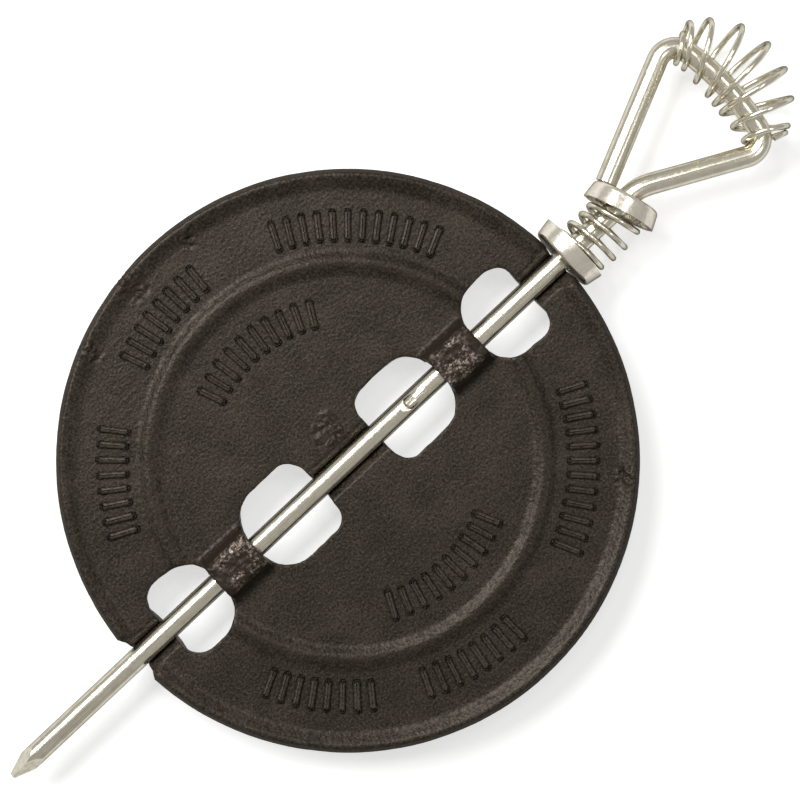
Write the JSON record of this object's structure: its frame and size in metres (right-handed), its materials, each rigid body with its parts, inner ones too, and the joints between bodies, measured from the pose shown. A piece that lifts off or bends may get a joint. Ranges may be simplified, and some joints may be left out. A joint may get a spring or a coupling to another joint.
{
  "type": "stovepipe damper",
  "caption": "Stovepipe damper: a round cast iron plate on a pointed wire rod that slides through it, with cup washers, a spring between them and a looped handle with a coil grip.",
  "frame": {"origin": "centre of the round plate, on the rod's axis", "axes": "+X along the rod towards the handle, +Y across the plate, +Z out of the plate's front face"},
  "size_m": [0.2638, 0.146, 0.0211],
  "materials": {
    "plate_iron": "sand cast, dark semi-gloss",
    "rod_wire": "bright zinc plated",
    "cup_steel": "bright zinc plated",
    "spring_wire": "bright zinc plated spring wire"
  },
  "bodies": {
    "pipe_side": {"pipe_washer": "cup_steel"},
    "spring": {"compression_spring": "spring_wire"},
    "rod_and_handle": {"damper_rod": "rod_wire", "handle_washer": "cup_steel", "grip_coil": "spring_wire"},
    "plate": {"damper_plate": "plate_iron"}
  },
  "joints": [
    {"name": "damper_turn", "type": "hinge", "parent": "pipe_side", "child": "spring", "pos_m": [0, 0, 0], "axis": [1, 0, 0], "continuous": true},
    {"name": "push_in", "type": "slide", "parent": "spring", "child": "rod_and_handle", "axis": [1, 0, 0], "range_m": [-0.006, 0], "stiffness_N_per_m": 4700, "deforming": ["compression_spring"]},
    {"name": "plate_draw", "type": "slide", "parent": "rod_and_handle", "child": "plate", "axis": [1, 0, 0], "range_m": [-0.0085, 0]}
  ]
}
